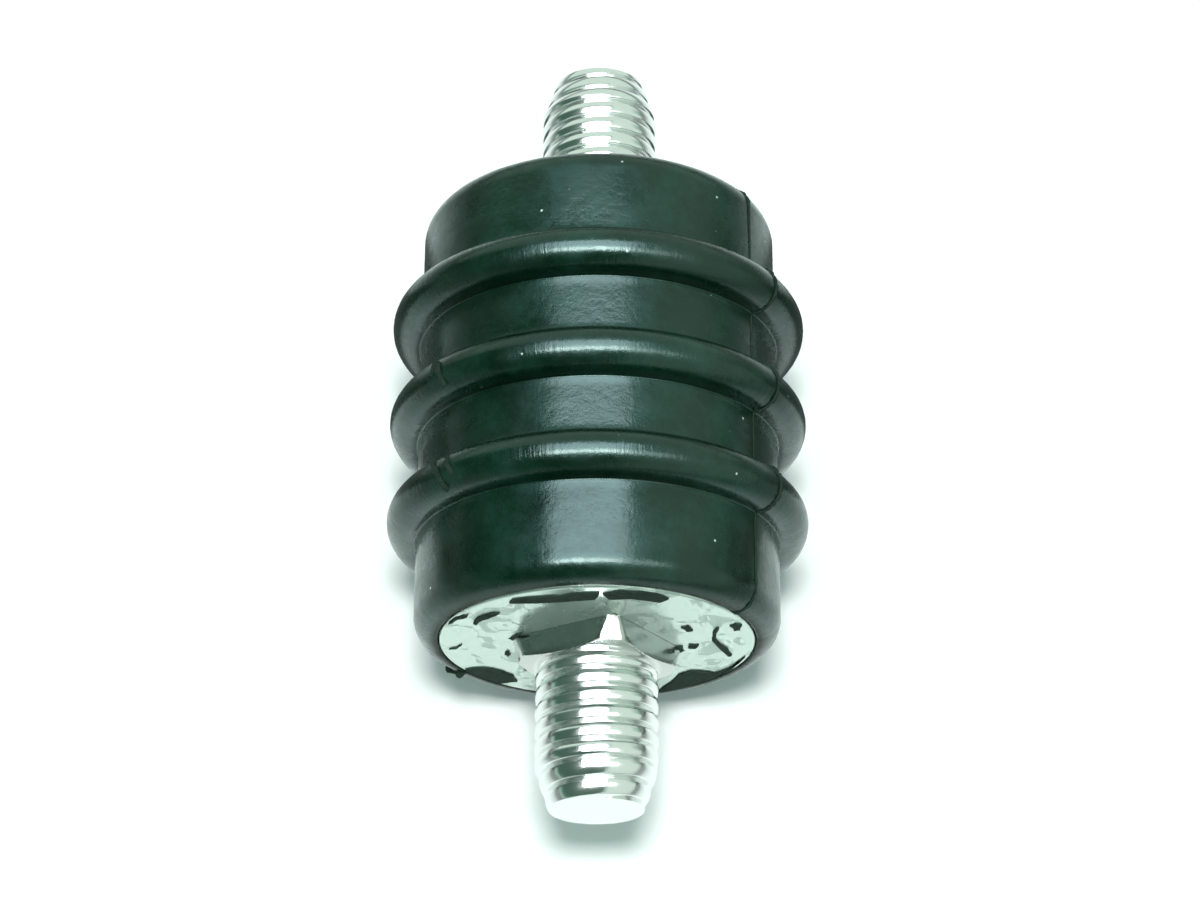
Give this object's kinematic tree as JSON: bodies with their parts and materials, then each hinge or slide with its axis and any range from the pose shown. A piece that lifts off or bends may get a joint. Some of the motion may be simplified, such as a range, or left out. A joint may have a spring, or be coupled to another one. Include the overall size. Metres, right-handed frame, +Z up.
{
  "type": "outboard motor mount",
  "caption": "Ribbed rubber cylinder with a steel plate bonded into each end and a threaded stud on each plate, which carries an outboard motor and damps its vibration.",
  "frame": {"origin": "middle of the rubber body, on its axis", "axes": "+Y along the axis from the front stud towards the rear stud, +Z up as the mount lies on its ribs, +X to the right seen from the front"},
  "size_m": [0.0348, 0.0662, 0.0348],
  "materials": {
    "rubber": "moulded black rubber with a soft shine",
    "plate_steel": "bright plated pressed steel",
    "bolt_steel": "bright plated steel with a rolled thread"
  },
  "bodies": {
    "root": {"rubber_body": "rubber", "front_plate": "plate_steel", "front_bolt": "bolt_steel", "rear_plate": "plate_steel", "rear_bolt": "bolt_steel"}
  },
  "joints": []
}
